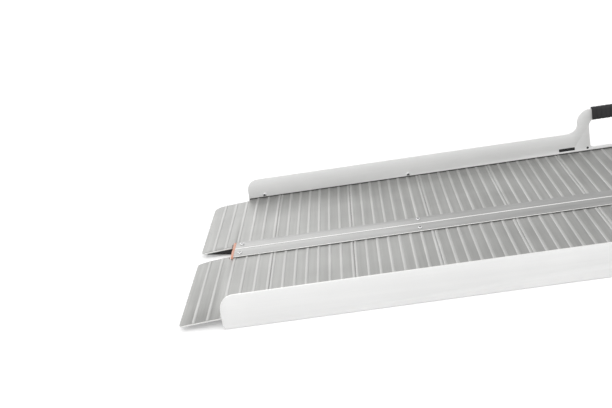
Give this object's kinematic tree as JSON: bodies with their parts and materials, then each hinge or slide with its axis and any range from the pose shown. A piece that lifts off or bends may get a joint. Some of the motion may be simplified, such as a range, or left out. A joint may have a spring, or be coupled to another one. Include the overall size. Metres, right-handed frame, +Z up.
{
  "type": "portable wheelchair ramp",
  "caption": "Ribbed aluminium ramp with raised side rails and handles that folds lengthwise on a central hinge for carrying.",
  "frame": {"origin": "centre of the laid-out ramp's footprint, at floor height", "axes": "+X along the ramp from its low end to its top end, +Y across it from the near half to the far half, +Z up"},
  "size_m": [1.798, 0.715, 0.1145],
  "materials": {
    "plank_aluminium": "satin mill-finish extrusion with fine ribs",
    "rail_aluminium": "pale silver anodised",
    "strip_aluminium": "smooth satin",
    "rivet_aluminium": "bright",
    "hinge_steel": "plain",
    "foot_rubber": "matt",
    "grip_rubber": "matt, finely ribbed",
    "cap_plastic": "matt, dusty orange"
  },
  "bodies": {
    "far_half": {"far_low_end_plank": "plank_aluminium", "far_plank_1": "plank_aluminium", "far_plank_2": "plank_aluminium", "far_plank_3": "plank_aluminium", "far_plank_4": "plank_aluminium", "far_middle_plank": "plank_aluminium", "far_plank_5": "plank_aluminium", "far_plank_6": "plank_aluminium", "far_plank_7": "plank_aluminium", "far_plank_8": "plank_aluminium", "far_top_end_plank": "plank_aluminium", "far_rail": "rail_aluminium", "far_centre_beam": "plank_aluminium", "far_centre_strip": "strip_aluminium", "far_hinge_knuckles": "hinge_steel", "hinge_pin": "hinge_steel", "far_low_cap": "cap_plastic", "far_top_cap": "cap_plastic", "far_low_foot": "foot_rubber", "far_top_foot": "foot_rubber", "far_grip": "grip_rubber", "far_strip_rivets": "rivet_aluminium", "far_rail_rivets": "rivet_aluminium"},
    "near_half": {"near_low_end_plank": "plank_aluminium", "near_plank_1": "plank_aluminium", "near_plank_2": "plank_aluminium", "near_plank_3": "plank_aluminium", "near_plank_4": "plank_aluminium", "near_middle_plank": "plank_aluminium", "near_plank_5": "plank_aluminium", "near_plank_6": "plank_aluminium", "near_plank_7": "plank_aluminium", "near_plank_8": "plank_aluminium", "near_top_end_plank": "plank_aluminium", "near_rail": "rail_aluminium", "near_centre_beam": "plank_aluminium", "near_centre_strip": "strip_aluminium", "near_hinge_knuckles": "hinge_steel", "near_low_cap": "cap_plastic", "near_top_cap": "cap_plastic", "near_low_foot": "foot_rubber", "near_top_foot": "foot_rubber", "near_grip": "grip_rubber", "near_strip_rivets": "rivet_aluminium", "near_rail_rivets": "rivet_aluminium"}
  },
  "joints": [
    {"name": "fold_hinge", "type": "hinge", "parent": "far_half", "child": "near_half", "pos_m": [0, 0, 0.0065], "axis": [1, 0, 0], "range_deg": [0, 175.5]}
  ]
}
